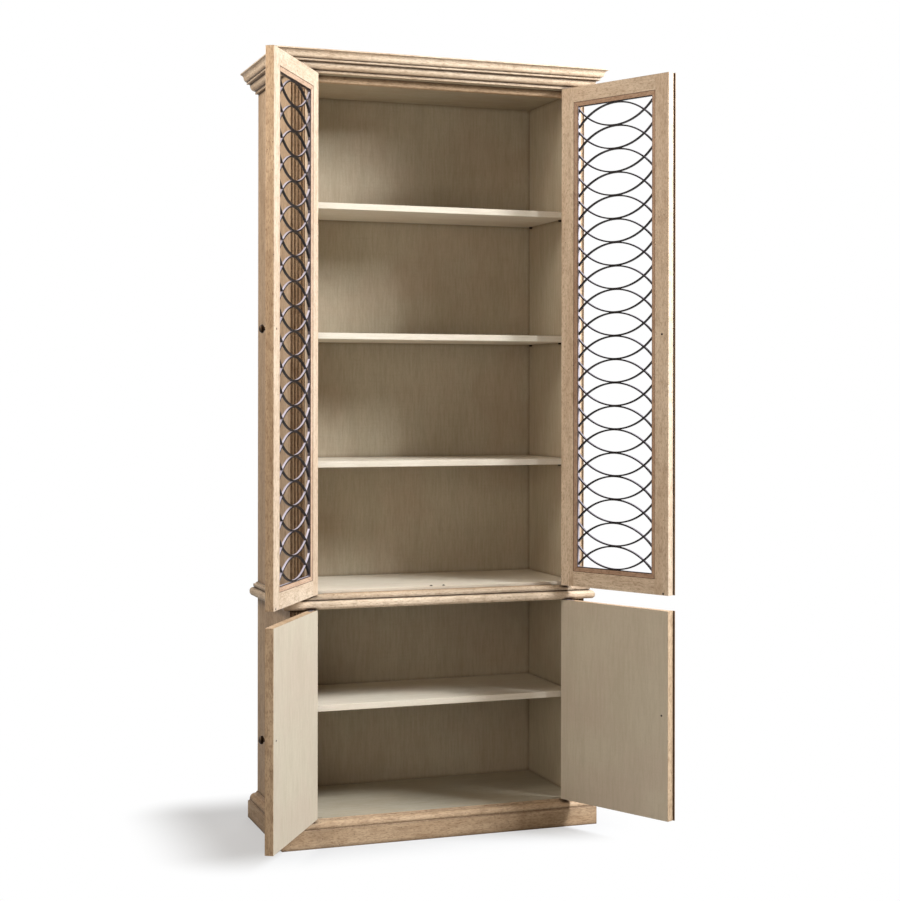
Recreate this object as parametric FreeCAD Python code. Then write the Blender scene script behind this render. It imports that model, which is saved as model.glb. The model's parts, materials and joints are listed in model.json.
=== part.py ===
import FreeCAD, Part
import math
import os

from FreeCAD import Vector

# A tall two-part display cabinet: a lower case with two panel doors, an upper case with two
# grille doors, fluted pilasters, and crown, waist and plinth mouldings mitred at the corners.
# Lengths are in millimetres. Z is up, the front faces -Y, and the origin lies at floor level,
# in the middle of the underside of the front plinth board. The doors stand open, as shown.

# Case
TOTAL_HEIGHT = 2340.0
CASE_WIDTH = 940.0
CASE_DEPTH = 412.0
SIDE_THICKNESS = 18.0
BACK_THICKNESS = 6.0
BACK_REBATE = 9.0
LOWER_FLOOR_TOP = 80.5
LOWER_FLOOR_THICKNESS = 24.0
LOWER_OPENING_TOP = 700.0
LOWER_TOP_THICKNESS = 25.0
DECK_THICKNESS = 25.4
LEDGE_HEIGHT = 16.5
UPPER_TOP_THICKNESS = 22.0
STOP_RAIL_HEIGHT = 20.0
STOP_RAIL_THICKNESS = 18.0
ARRIS = 1.0

# Fluted pilasters
PILASTER_WIDTH = 55.0
PILASTER_THICKNESS = 27.0
FLUTE_COUNT = 5
FLUTE_PITCH = 10.0
FLUTE_WIDTH = 6.0
FLUTE_EDGE = 4.5
FLUTE_BULGE_SHARE = 0.34

# Mouldings: how far each stands out from the case, and its height
CROWN_OVERHANG = 58.0
CROWN_HEIGHT = 61.5
WAIST_OVERHANG = 26.5
PLINTH_OVERHANG = 31.0
PLINTH_HEIGHT = 52.5

# Shelves
SHELF_THICKNESS = 19.0
SHELF_END_CLEARANCE = 0.5
UPPER_SHELF_SETBACK = 82.0
LOWER_SHELF_SETBACK = 56.0
SHELF_PIN_RADIUS = 3.0
SHELF_PIN_LENGTH = 9.0
SHELF_PIN_FRONT = 139.0
SHELF_PIN_BACK = 28.0
SHELF_PIN_CLEARANCE = 0.3

# Doors
DOOR_THICKNESS = 24.7
DOOR_END_GAP = 2.0
HINGE_GAP = 2.0
MEETING_GAP = 0.8
RIGHT_OPEN_ANGLE = 116.0
LEFT_OPEN_ANGLE = 122.0
STILE_WIDTH = 50.0
RAIL_WIDTH = 46.5
BEAD_WIDTH = 13.0
BEAD_STEP = 0.6
BEAD_DROP = 3.4
OVOLO_DROP = 8.0

# Strip that laps the meeting edge, on the right-hand doors
LIP_WIDTH = 16.0
LIP_LAP = 5.0
LIP_THICKNESS = 3.5
LIP_RELIEF = 0.4

# Grille
GRILLE_CELLS = 20
GRILLE_CHORDS = 8
GRILLE_BAR = 4.5
GRILLE_BORDER = 2.0
GRILLE_DEPTH = 7.0
GRILLE_SETBACK = 5.0
GRILLE_LAP = 1.2
GRILLE_RISE_SHARE = 0.9

# Knobs
KNOB_RADIUS = 12.0
KNOB_PROJECTION = 25.0
KNOB_FROM_EDGE = 24.0

# Pivot hinges
PIVOT_INSET = 1.1
PIVOT_FORWARD = 1.3
LEAF_EYE_RADIUS = 5.5
LEAF_LENGTH = 42.0
LEAF_WIDTH = 10.0
LEAF_FROM_FACE = 7.0
FIXED_LEAF_THICKNESS = 1.5
MOVING_LEAF_THICKNESS = 2.4
LEAF_CLEARANCE = 0.3
PIVOT_PIN_RADIUS = 1.8
PIVOT_PIN_CLEARANCE = 0.05

# Catches on the deck
CATCH_RADIUS = 5.0
CATCH_HEIGHT = 3.0
CATCH_FROM_CENTRE = 20.0
CATCH_FROM_EDGE = 9.0

# One overrun for every cut
OVERRUN = 5.0

# Levels and faces worked out from the sizes above
HALF_WIDTH = CASE_WIDTH / 2
FRONT = PLINTH_OVERHANG / 2
BACK = FRONT + CASE_DEPTH
INNER_HALF = HALF_WIDTH - SIDE_THICKNESS
INNER_BACK = BACK - BACK_THICKNESS
INNER_FRONT = FRONT + PILASTER_THICKNESS
OPENING_HALF = HALF_WIDTH - PILASTER_WIDTH
LOWER_CASE_TOP = LOWER_OPENING_TOP + LOWER_TOP_THICKNESS
DECK_TOP = LOWER_CASE_TOP + DECK_THICKNESS
LEDGE_TOP = LOWER_CASE_TOP + LEDGE_HEIGHT
UPPER_OPENING_TOP = TOTAL_HEIGHT - CROWN_HEIGHT
WAIST_HEIGHT = LEDGE_TOP - LOWER_OPENING_TOP
PLINTH_CAP_HEIGHT = LOWER_FLOOR_TOP - PLINTH_HEIGHT
DOOR_WIDTH = OPENING_HALF - HINGE_GAP - MEETING_GAP / 2
HINGE_EDGE = OPENING_HALF - HINGE_GAP
FREE_EDGE = HINGE_EDGE - DOOR_WIDTH
DOOR_INNER_FACE = FRONT + DOOR_THICKNESS
PIVOT_X = HINGE_EDGE - PIVOT_INSET
PIVOT_Y = FRONT - PIVOT_FORWARD

# Height of each shelf's top in its case, as a share of the clear height of the case
UPPER_SHELF_SHARES = (0.758, 0.502, 0.249)
LOWER_SHELF_SHARE = 0.5215
UPPER_SHELF_TOPS = [
    DECK_TOP + share * (UPPER_OPENING_TOP - DECK_TOP) for share in UPPER_SHELF_SHARES
]
LOWER_SHELF_TOP = LOWER_FLOOR_TOP + LOWER_SHELF_SHARE * (LOWER_OPENING_TOP - LOWER_FLOOR_TOP)

# A quarter circle rises by this share of its chord
QUARTER_SHARE = math.tan(math.pi / 8) / 2

# Round hardware has this many flats, which keeps the model light
SMALL_SIDES = 10
KNOB_SIDES = 16

# Moulding outlines, from the foot of the moulding up its face and back to the case:
# share of the overhang, share of the height, and the bulge of the stretch that follows
CROWN_OUTLINE_SHARES = (
    (0.0, 0.0, 0.0),
    (0.172, 0.0, 0.0),
    (0.172, 0.11, 0.0),
    (0.145, 0.125, 0.0),
    (0.2, 0.145, 0.22),
    (0.465, 0.465, 0.0),
    (0.655, 0.485, 0.0),
    (0.655, 0.565, 0.0),
    (0.635, 0.58, 0.0),
    (0.69, 0.6, 0.14),
    (0.82, 0.765, -0.14),
    (0.95, 0.93, 0.0),
    (1.0, 0.945, 0.0),
    (1.0, 1.0, 0.0),
    (0.0, 1.0, 0.0),
)
WAIST_OUTLINE_SHARES = (
    (0.0, 0.0, 0.0),
    (0.8, 0.0, 0.0),
    (0.83, 0.035, 0.14),
    (1.0, 0.265, 0.24),
    (0.565, 0.59, 0.0),
    (0.435, 0.63, 0.0),
    (0.55, 0.665, 0.0),
    (0.55, 0.855, 0.0),
    (0.455, 0.87, -0.14),
    (0.19, 0.96, 0.0),
    (0.0, 1.0, 0.0),
)
PLINTH_CAP_OUTLINE_SHARES = (
    (0.0, 0.0, 0.0),
    (0.92, 0.0, 0.0),
    (0.81, 0.09, 0.0),
    (0.81, 0.235, 0.2),
    (0.29, 0.78, -0.16),
    (0.1, 0.96, 0.0),
    (0.05, 1.0, 0.0),
    (0.0, 1.0, 0.0),
)


def box(x_start, x_end, y_start, y_end, z_start, z_end):
    """Rectangular solid between two values on each axis."""
    corner = Vector(x_start, y_start, z_start)
    return Part.makeBox(x_end - x_start, y_end - y_start, z_end - z_start, corner)


def mirrored(shape):
    """The same piece on the left-hand side."""
    return shape.mirror(Vector(0, 0, 0), Vector(1, 0, 0))


def polygon_face(points):
    """Flat face with straight sides."""
    return Part.Face(Part.makePolygon([*points, points[0]]))


def outline_face(corners, place):
    """Flat face through the corners, each (across, up, bulge share of the next stretch).

    A stretch without bulge is straight. Otherwise it is an arc that rises by that share of
    its chord, to the right of the way it runs."""
    edges = []
    for index, (across, up, bulge_share) in enumerate(corners):
        next_across, next_up, _ = corners[(index + 1) % len(corners)]
        start = place(across, up)
        end = place(next_across, next_up)
        if bulge_share == 0:
            edges.append(Part.makeLine(start, end))
            continue
        middle = place(
            (across + next_across) / 2 + bulge_share * (next_up - up),
            (up + next_up) / 2 - bulge_share * (next_across - across),
        )
        edges.append(Part.Arc(start, middle, end).toShape())
    return Part.Face(Part.Wire(edges))


def plan_prism(corners, z_start, z_end):
    """Upright prism over a plan outline with straight or arched stretches."""
    face = outline_face(corners, lambda x, y: Vector(x, y, z_start))
    return face.extrude(Vector(0, 0, z_end - z_start))


def moulding(outline_shares, overhang, height, foot):
    """Front piece and right-hand return of a moulding round the case, mitred at the corner."""
    corners = [
        (across * overhang, up * height, bulge) for across, up, bulge in outline_shares
    ]
    reach = HALF_WIDTH + overhang
    lead = FRONT - overhang

    front_face = outline_face(corners, lambda out, up: Vector(-reach, FRONT - out, foot + up))
    front_run = front_face.extrude(Vector(2 * reach, 0, 0))
    front_plan = (
        (-HALF_WIDTH, FRONT, 0),
        (-reach, lead, 0),
        (reach, lead, 0),
        (HALF_WIDTH, FRONT, 0),
    )
    front = front_run.common(plan_prism(front_plan, foot, foot + height))

    side_face = outline_face(corners, lambda out, up: Vector(HALF_WIDTH + out, lead, foot + up))
    side_run = side_face.extrude(Vector(0, BACK - lead, 0))
    side_plan = (
        (HALF_WIDTH, FRONT, 0),
        (reach, lead, 0),
        (reach, BACK, 0),
        (HALF_WIDTH, BACK, 0),
    )
    side = side_run.common(plan_prism(side_plan, foot, foot + height))
    return front, side


def add_moulding(nodes, name, outline_shares, overhang, height, foot):
    """Front piece and both returns of one moulding."""
    front, side = moulding(outline_shares, overhang, height, foot)
    nodes[name + "_front"] = front
    nodes[name + "_right"] = side
    nodes[name + "_left"] = mirrored(side)


def turned(stations, centre, direction, sides):
    """Round piece along a direction, with flat sides between rings of (radius, distance)."""
    across = direction.cross(Vector(0, 0, 1))
    if across.Length == 0:
        across = Vector(1, 0, 0)
    upward = direction.cross(across)
    rings = []
    for radius, distance in stations:
        ring = []
        for index in range(sides):
            angle = 2 * math.pi * index / sides
            spoke = across * math.cos(angle) + upward * math.sin(angle)
            ring.append(centre + direction * distance + spoke * radius)
        rings.append(ring)
    faces = [polygon_face(rings[0]), polygon_face(rings[-1])]
    for ring, next_ring in zip(rings, rings[1:]):
        for index in range(sides):
            after = (index + 1) % sides
            corners = (ring[index], ring[after], next_ring[after], next_ring[index])
            faces.append(polygon_face(corners))
    return Part.Solid(Part.Shell(faces))


def round_hole_radius(radius):
    """Corner radius of a flat-sided hole that just clears a turning piece of this radius."""
    return radius / math.cos(math.pi / SMALL_SIDES)


def small_bar(radius, start, end, centre, direction):
    """Straight round bar between two distances from a centre."""
    return turned(((radius, start), (radius, end)), centre, direction, SMALL_SIDES)


def side_panel(foot, top):
    """Right-hand side of a case, rebated at the back for the back panel."""
    rebate_x = INNER_HALF + BACK_REBATE
    plan = (
        (INNER_HALF, INNER_FRONT, 0),
        (HALF_WIDTH, INNER_FRONT, 0),
        (HALF_WIDTH, BACK, 0),
        (rebate_x, BACK, 0),
        (rebate_x, INNER_BACK, 0),
        (INNER_HALF, INNER_BACK, 0),
    )
    return plan_prism(plan, foot, top)


def pilaster(foot, top, hinge_levels):
    """Right-hand pilaster with its flutes, and a pocket for the eye of each pivot hinge."""
    plan = [(OPENING_HALF, FRONT, 0)]
    for index in reversed(range(FLUTE_COUNT)):
        centre = HALF_WIDTH - FLUTE_EDGE - index * FLUTE_PITCH
        plan.append((centre - FLUTE_WIDTH / 2, FRONT, -FLUTE_BULGE_SHARE))
        plan.append((centre + FLUTE_WIDTH / 2, FRONT, 0))
    plan.append((HALF_WIDTH, FRONT, 0))
    plan.append((HALF_WIDTH, INNER_FRONT, 0))
    plan.append((OPENING_HALF, INNER_FRONT, 0))
    board = plan_prism(plan, foot, top)
    radius = round_hole_radius(LEAF_EYE_RADIUS + LEAF_CLEARANCE)
    reach = FIXED_LEAF_THICKNESS + MOVING_LEAF_THICKNESS + 2 * LEAF_CLEARANCE
    for level in hinge_levels:
        centre = Vector(PIVOT_X, PIVOT_Y, level)
        board = board.cut(small_bar(radius, -reach, reach, centre, Vector(0, 0, 1)))
    return board


def shelf(top, setback):
    """Loose shelf with eased front arrises."""
    length = 2 * (INNER_HALF - SHELF_END_CLEARANCE)
    lead = FRONT + setback
    tail = INNER_BACK - SHELF_END_CLEARANCE
    foot = top - SHELF_THICKNESS
    section = (
        (lead + ARRIS, foot, 0),
        (tail, foot, 0),
        (tail, top, 0),
        (lead + ARRIS, top, 0),
        (lead, top - ARRIS, 0),
        (lead, foot + ARRIS, 0),
    )
    face = outline_face(section, lambda y, z: Vector(-length / 2, y, z))
    return face.extrude(Vector(length, 0, 0))


def shelf_pins(tops):
    """Four round pins under each shelf, standing out of the side panels."""
    pins = []
    for top in tops:
        level = top - SHELF_THICKNESS - SHELF_PIN_CLEARANCE - SHELF_PIN_RADIUS
        for y in (FRONT + SHELF_PIN_FRONT, BACK - SHELF_PIN_BACK):
            centre = Vector(INNER_HALF, y, level)
            pin = small_bar(SHELF_PIN_RADIUS, 0, SHELF_PIN_LENGTH, centre, Vector(-1, 0, 0))
            pins.append(pin)
            pins.append(mirrored(pin))
    return Part.makeCompound(pins)


def lower_floor():
    """Floor of the lower case, notched round the pilasters."""
    plan = (
        (-OPENING_HALF, FRONT, 0),
        (OPENING_HALF, FRONT, 0),
        (OPENING_HALF, INNER_FRONT, 0),
        (INNER_HALF, INNER_FRONT, 0),
        (INNER_HALF, INNER_BACK, 0),
        (-INNER_HALF, INNER_BACK, 0),
        (-INNER_HALF, INNER_FRONT, 0),
        (-OPENING_HALF, INNER_FRONT, 0),
    )
    return plan_prism(plan, LOWER_FLOOR_TOP - LOWER_FLOOR_THICKNESS, LOWER_FLOOR_TOP)


def stop_rail():
    """Rail behind the tops of the upper doors, rounded along its lower front arris."""
    top = UPPER_OPENING_TOP
    foot = top - STOP_RAIL_HEIGHT
    rounding = STOP_RAIL_THICKNESS / 3
    section = (
        (INNER_FRONT + rounding, foot, 0),
        (INNER_FRONT + STOP_RAIL_THICKNESS, foot, 0),
        (INNER_FRONT + STOP_RAIL_THICKNESS, top, 0),
        (INNER_FRONT, top, 0),
        (INNER_FRONT, foot + rounding, QUARTER_SHARE),
    )
    face = outline_face(section, lambda y, z: Vector(-INNER_HALF, y, z))
    return face.extrude(Vector(2 * INNER_HALF, 0, 0))


def deck_catches():
    """The two button catches on the deck, one for each upper door."""
    stations = (
        (CATCH_RADIUS, 0),
        (CATCH_RADIUS, 0.6 * CATCH_HEIGHT),
        (0.7 * CATCH_RADIUS, CATCH_HEIGHT),
    )
    centre = Vector(CATCH_FROM_CENTRE, INNER_FRONT + CATCH_FROM_EDGE, DECK_TOP)
    button = turned(stations, centre, Vector(0, 0, 1), SMALL_SIDES)
    return Part.makeCompound([button, mirrored(button)])


def leaf_plate(level, thickness):
    """Plate of a right-hand pivot hinge: an eye round the pivot and a bar behind it."""
    bar_start = FRONT + LEAF_FROM_FACE
    bar_end = bar_start + LEAF_WIDTH
    centre = Vector(PIVOT_X, PIVOT_Y, level)
    eye = small_bar(LEAF_EYE_RADIUS, 0, thickness, centre, Vector(0, 0, 1))
    plan = (
        (PIVOT_X - LEAF_EYE_RADIUS, PIVOT_Y, 0),
        (PIVOT_X, PIVOT_Y, 0),
        (PIVOT_X, bar_end, 0),
        (PIVOT_X - LEAF_LENGTH, bar_end, 0),
        (PIVOT_X - LEAF_LENGTH, bar_start, 0),
        (PIVOT_X - LEAF_EYE_RADIUS, bar_start, 0),
    )
    return eye.fuse(plan_prism(plan, level, level + thickness)).removeSplitter()


def fixed_leaf(level, way):
    """Leaf on the case with its pivot pin. Way is 1 where the door stands above it, else -1."""
    reach = FIXED_LEAF_THICKNESS + LEAF_CLEARANCE + MOVING_LEAF_THICKNESS
    plate = leaf_plate(min(level, level + way * FIXED_LEAF_THICKNESS), FIXED_LEAF_THICKNESS)
    pin = small_bar(PIVOT_PIN_RADIUS, 0, reach, Vector(PIVOT_X, PIVOT_Y, level), Vector(0, 0, way))
    return plate.fuse(pin).removeSplitter()


def moving_leaf(level, way):
    """Leaf let into the end of the door, with the hole that turns on the pivot pin."""
    near = level + way * (FIXED_LEAF_THICKNESS + LEAF_CLEARANCE)
    foot = min(near, near + way * MOVING_LEAF_THICKNESS)
    plate = leaf_plate(foot, MOVING_LEAF_THICKNESS)
    hole = small_bar(
        round_hole_radius(PIVOT_PIN_RADIUS + PIVOT_PIN_CLEARANCE),
        -OVERRUN, MOVING_LEAF_THICKNESS + OVERRUN,
        Vector(PIVOT_X, PIVOT_Y, foot), Vector(0, 0, 1),
    )
    return plate.cut(hole), plate


def sticking(length):
    """Moulded inner edge of a door frame, mitred at both ends.

    It runs along +X, widens towards +Z, and has the bead on its +Y side and the ovolo on
    its -Y side."""
    section = (
        (0, -BEAD_STEP, 0),
        (0, BEAD_STEP - DOOR_THICKNESS, QUARTER_SHARE),
        (BEAD_WIDTH, OVOLO_DROP - DOOR_THICKNESS, 0),
        (BEAD_WIDTH, -BEAD_DROP, 0),
    )
    run = outline_face(section, lambda across, depth: Vector(0, depth, across))
    run = run.extrude(Vector(length, 0, 0))
    mitres = (
        (0, 0, 0),
        (length, 0, 0),
        (length - BEAD_WIDTH, BEAD_WIDTH, 0),
        (BEAD_WIDTH, BEAD_WIDTH, 0),
    )
    prism = outline_face(mitres, lambda along, across: Vector(along, -DOOR_THICKNESS, across))
    return run.common(prism.extrude(Vector(0, DOOR_THICKNESS, 0)))


def placed_sticking(length, angle, x, z):
    """Sticking turned about Y and set with its outer corner on a corner of the frame."""
    strip = sticking(length)
    strip.rotate(Vector(0, 0, 0), Vector(0, 1, 0), angle)
    strip.translate(Vector(x, DOOR_INNER_FACE, z))
    return strip


def stile_board(x_outer, x_inner, foot, top):
    """Flat part of a stile, with its outer arrises eased."""
    way = 1 if x_inner > x_outer else -1
    plan = (
        (x_inner, FRONT, 0),
        (x_inner, DOOR_INNER_FACE, 0),
        (x_outer + way * ARRIS, DOOR_INNER_FACE, 0),
        (x_outer, DOOR_INNER_FACE - ARRIS, 0),
        (x_outer, FRONT + ARRIS, 0),
        (x_outer + way * ARRIS, FRONT, 0),
    )
    return plan_prism(plan, foot, top)


def grille_strip(x_start, x_end, level, way):
    """Face of one arched strip, whose crown is at the level. Way is 1 for an arch, -1 for a
    bowl. Its ends run past the sides of the opening."""
    half = (x_end - x_start) / 2
    middle = (x_start + x_end) / 2
    rise = GRILLE_RISE_SHARE * grille_pitch()
    radius = (half * half + rise * rise) / (2 * rise)
    sweep = math.asin((half + GRILLE_BAR) / radius)
    points = []
    for edge_radius, turn in ((radius + GRILLE_BAR / 2, 1), (radius - GRILLE_BAR / 2, -1)):
        for index in range(GRILLE_CHORDS + 1):
            angle = turn * sweep * (2 * index / GRILLE_CHORDS - 1)
            x = middle + edge_radius * math.sin(angle)
            z = level - way * radius + way * edge_radius * math.cos(angle)
            points.append(Vector(x, 0, z))
    return polygon_face(points)


def sight_levels():
    """Foot and top of the opening that the grille fills."""
    foot = LEDGE_TOP + DOOR_END_GAP + RAIL_WIDTH + BEAD_WIDTH
    top = UPPER_OPENING_TOP - DOOR_END_GAP - RAIL_WIDTH - BEAD_WIDTH
    return foot, top


def grille_pitch():
    """Height of one cell of the grille."""
    foot, top = sight_levels()
    return (top - foot - GRILLE_BAR) / GRILLE_CELLS


def grille():
    """Metal grille: a border strip and, in each cell, an arch and a bowl that cross."""
    x_start = FREE_EDGE + STILE_WIDTH + BEAD_WIDTH
    x_end = HINGE_EDGE - STILE_WIDTH - BEAD_WIDTH
    foot, top = sight_levels()
    back = DOOR_INNER_FACE - GRILLE_SETBACK
    front = back - GRILLE_DEPTH
    opening = box(
        x_start + GRILLE_BORDER, x_end - GRILLE_BORDER, front - OVERRUN, back + OVERRUN,
        foot + GRILLE_BORDER, top - GRILLE_BORDER,
    )
    border = box(x_start, x_end, front, back, foot, top).cut(opening)
    strips = []
    for cell in range(GRILLE_CELLS):
        level = foot + GRILLE_BAR / 2 + cell * grille_pitch()
        strips.append(grille_strip(x_start, x_end, level + GRILLE_LAP, -1))
        strips.append(grille_strip(x_start, x_end, level + grille_pitch() - GRILLE_LAP, 1))
    corners = ((x_start, foot), (x_end, foot), (x_end, top), (x_start, top))
    pane = polygon_face([Vector(x, 0, z) for x, z in corners])
    web = strips[0].multiFuse(strips[1:]).common(pane).removeSplitter()
    web.translate(Vector(0, back, 0))
    return border.fuse(web.extrude(Vector(0, -GRILLE_DEPTH, 0))).removeSplitter()


def knob(level):
    """Turned knob on the outer face: a foot, a waisted neck and a domed head."""
    outline_shares = (
        (0.6, 0.0),
        (0.6, 0.12),
        (0.42, 0.3),
        (0.75, 0.5),
        (0.98, 0.62),
        (1.0, 0.74),
        (0.88, 0.88),
        (0.6, 0.96),
        (0.25, 1.0),
    )
    stations = [
        (radius_share * KNOB_RADIUS, out_share * KNOB_PROJECTION)
        for radius_share, out_share in outline_shares
    ]
    centre = Vector(FREE_EDGE + KNOB_FROM_EDGE, FRONT, level)
    return turned(stations, centre, Vector(0, -1, 0), KNOB_SIDES)


def lip(foot, top):
    """Strip on the outer face that laps the meeting edge of the other door."""
    start = FREE_EDGE - LIP_LAP
    end = start + LIP_WIDTH
    face_y = FRONT - LIP_THICKNESS
    plan = (
        (start + ARRIS, face_y, 0),
        (end - ARRIS, face_y, 0),
        (end, face_y + ARRIS, 0),
        (end, FRONT, 0),
        (FREE_EDGE, FRONT, 0),
        (FREE_EDGE, FRONT - LIP_RELIEF, 0),
        (start, FRONT - LIP_RELIEF, 0),
        (start, face_y + ARRIS, 0),
    )
    return plan_prism(plan, foot, top)


def upper_door(with_lip):
    """Pieces of the right-hand upper door, closed."""
    foot = LEDGE_TOP + DOOR_END_GAP
    top = UPPER_OPENING_TOP - DOOR_END_GAP
    x_free = FREE_EDGE + STILE_WIDTH
    x_hinge = HINGE_EDGE - STILE_WIDTH
    z_foot = foot + RAIL_WIDTH
    z_top = top - RAIL_WIDTH
    width = x_hinge - x_free
    height = z_top - z_foot

    hinge_stile = stile_board(HINGE_EDGE, x_hinge, foot, top)
    hinge_stile = hinge_stile.fuse(placed_sticking(height, -90, x_hinge, z_foot))
    free_stile = stile_board(FREE_EDGE, x_free, foot, top)
    free_stile = free_stile.fuse(placed_sticking(height, 90, x_free, z_top))
    top_rail = box(x_free, x_hinge, FRONT, DOOR_INNER_FACE, z_top, top)
    top_rail = top_rail.fuse(placed_sticking(width, 180, x_hinge, z_top))
    bottom_rail = box(x_free, x_hinge, FRONT, DOOR_INNER_FACE, foot, z_foot)
    bottom_rail = bottom_rail.fuse(placed_sticking(width, 0, x_free, z_foot))

    lower_leaf, lower_pocket = moving_leaf(LEDGE_TOP, 1)
    upper_leaf, upper_pocket = moving_leaf(UPPER_OPENING_TOP, -1)
    pieces = {
        "hinge_stile": hinge_stile.cut(lower_pocket).cut(upper_pocket).removeSplitter(),
        "free_stile": free_stile.removeSplitter(),
        "top_rail": top_rail.removeSplitter(),
        "bottom_rail": bottom_rail.removeSplitter(),
        "grille": grille(),
        "knob": knob((foot + top) / 2),
        "hinge_leaves": Part.makeCompound([lower_leaf, upper_leaf]),
    }
    if with_lip:
        pieces["lip"] = lip(foot, top)
    return pieces


def lower_door(with_lip):
    """Pieces of the right-hand lower door, closed."""
    foot = LOWER_FLOOR_TOP + DOOR_END_GAP
    top = LOWER_OPENING_TOP - DOOR_END_GAP
    plan = (
        (FREE_EDGE + ARRIS, FRONT, 0),
        (HINGE_EDGE - ARRIS, FRONT, 0),
        (HINGE_EDGE, FRONT + ARRIS, 0),
        (HINGE_EDGE, DOOR_INNER_FACE - ARRIS, 0),
        (HINGE_EDGE - ARRIS, DOOR_INNER_FACE, 0),
        (FREE_EDGE + ARRIS, DOOR_INNER_FACE, 0),
        (FREE_EDGE, DOOR_INNER_FACE - ARRIS, 0),
        (FREE_EDGE, FRONT + ARRIS, 0),
    )
    lower_leaf, lower_pocket = moving_leaf(LOWER_FLOOR_TOP, 1)
    upper_leaf, upper_pocket = moving_leaf(LOWER_OPENING_TOP, -1)
    pieces = {
        "slab": plan_prism(plan, foot, top).cut(lower_pocket).cut(upper_pocket),
        "knob": knob((foot + top) / 2),
        "hinge_leaves": Part.makeCompound([lower_leaf, upper_leaf]),
    }
    if with_lip:
        pieces["lip"] = lip(foot, top)
    return pieces


def add_doors(nodes, name, maker):
    """Right-hand and left-hand door of one case, each turned open about its pivot."""
    for piece, shape in maker(True).items():
        shape.rotate(Vector(PIVOT_X, PIVOT_Y, 0), Vector(0, 0, 1), RIGHT_OPEN_ANGLE)
        nodes[name + "_right_" + piece] = shape
    for piece, shape in maker(False).items():
        shape = mirrored(shape)
        shape.rotate(Vector(-PIVOT_X, PIVOT_Y, 0), Vector(0, 0, 1), -LEFT_OPEN_ANGLE)
        nodes[name + "_left_" + piece] = shape


def add_lower_case(nodes):
    """Boards of the lower case."""
    side = side_panel(0, LOWER_OPENING_TOP)
    post = pilaster(0, LOWER_OPENING_TOP, (LOWER_FLOOR_TOP, LOWER_OPENING_TOP))
    rebate_half = INNER_HALF + BACK_REBATE
    nodes["lower_side_right"] = side
    nodes["lower_side_left"] = mirrored(side)
    nodes["lower_pilaster_right"] = post
    nodes["lower_pilaster_left"] = mirrored(post)
    nodes["lower_floor"] = lower_floor()
    nodes["lower_top"] = box(
        -HALF_WIDTH, HALF_WIDTH, FRONT, BACK, LOWER_OPENING_TOP, LOWER_CASE_TOP
    )
    nodes["lower_back"] = box(
        -rebate_half, rebate_half, INNER_BACK, BACK,
        LOWER_FLOOR_TOP - LOWER_FLOOR_THICKNESS, LOWER_OPENING_TOP,
    )
    nodes["lower_shelf"] = shelf(LOWER_SHELF_TOP, LOWER_SHELF_SETBACK)


def add_upper_case(nodes):
    """Boards of the upper case."""
    side = side_panel(LOWER_CASE_TOP, UPPER_OPENING_TOP)
    post = pilaster(LOWER_CASE_TOP, UPPER_OPENING_TOP, (LEDGE_TOP, UPPER_OPENING_TOP))
    rebate_half = INNER_HALF + BACK_REBATE
    nodes["upper_side_right"] = side
    nodes["upper_side_left"] = mirrored(side)
    nodes["upper_pilaster_right"] = post
    nodes["upper_pilaster_left"] = mirrored(post)
    nodes["upper_deck"] = box(
        -INNER_HALF, INNER_HALF, INNER_FRONT, INNER_BACK, LOWER_CASE_TOP, DECK_TOP
    )
    nodes["upper_front_rail"] = box(
        -OPENING_HALF, OPENING_HALF, FRONT, INNER_FRONT, LOWER_CASE_TOP, LEDGE_TOP
    )
    nodes["upper_top"] = box(
        -HALF_WIDTH, HALF_WIDTH, FRONT, BACK,
        UPPER_OPENING_TOP, UPPER_OPENING_TOP + UPPER_TOP_THICKNESS,
    )
    nodes["upper_back"] = box(
        -rebate_half, rebate_half, INNER_BACK, BACK, LOWER_CASE_TOP, UPPER_OPENING_TOP
    )
    nodes["stop_rail"] = stop_rail()
    for number, top in enumerate(UPPER_SHELF_TOPS, 1):
        nodes[f"upper_shelf_{number}"] = shelf(top, UPPER_SHELF_SETBACK)


def add_plinth(nodes):
    """Plinth board and the cap moulding on it."""
    board_outline_shares = ((0, 0, 0), (1, 0, 0), (1, 1, 0), (0, 1, 0))
    add_moulding(nodes, "plinth", board_outline_shares, PLINTH_OVERHANG, PLINTH_HEIGHT, 0)
    add_moulding(
        nodes, "plinth_cap", PLINTH_CAP_OUTLINE_SHARES, PLINTH_OVERHANG, PLINTH_CAP_HEIGHT,
        PLINTH_HEIGHT,
    )


def add_hardware(nodes):
    """Fixed hinge leaves, catches and shelf pins of the case."""
    leaves = []
    for level in (LOWER_FLOOR_TOP, LEDGE_TOP):
        leaves.append(fixed_leaf(level, 1))
    for level in (LOWER_OPENING_TOP, UPPER_OPENING_TOP):
        leaves.append(fixed_leaf(level, -1))
    leaves.extend([mirrored(leaf) for leaf in leaves])
    nodes["fixed_hinge_leaves"] = Part.makeCompound(leaves)
    nodes["deck_catches"] = deck_catches()
    nodes["shelf_pins"] = shelf_pins([LOWER_SHELF_TOP, *UPPER_SHELF_TOPS])


def main():
    """Build every piece and write one file for each."""
    nodes = {}
    add_lower_case(nodes)
    add_upper_case(nodes)
    add_plinth(nodes)
    add_moulding(
        nodes, "waist", WAIST_OUTLINE_SHARES, WAIST_OVERHANG, WAIST_HEIGHT, LOWER_OPENING_TOP
    )
    add_moulding(
        nodes, "crown", CROWN_OUTLINE_SHARES, CROWN_OVERHANG, CROWN_HEIGHT, UPPER_OPENING_TOP
    )
    add_hardware(nodes)
    add_doors(nodes, "upper", upper_door)
    add_doors(nodes, "lower", lower_door)

    os.makedirs("parts", exist_ok=True)
    for name, shape in nodes.items():
        shape.exportStep(os.path.join("parts", name + ".step"))


main()
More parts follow.
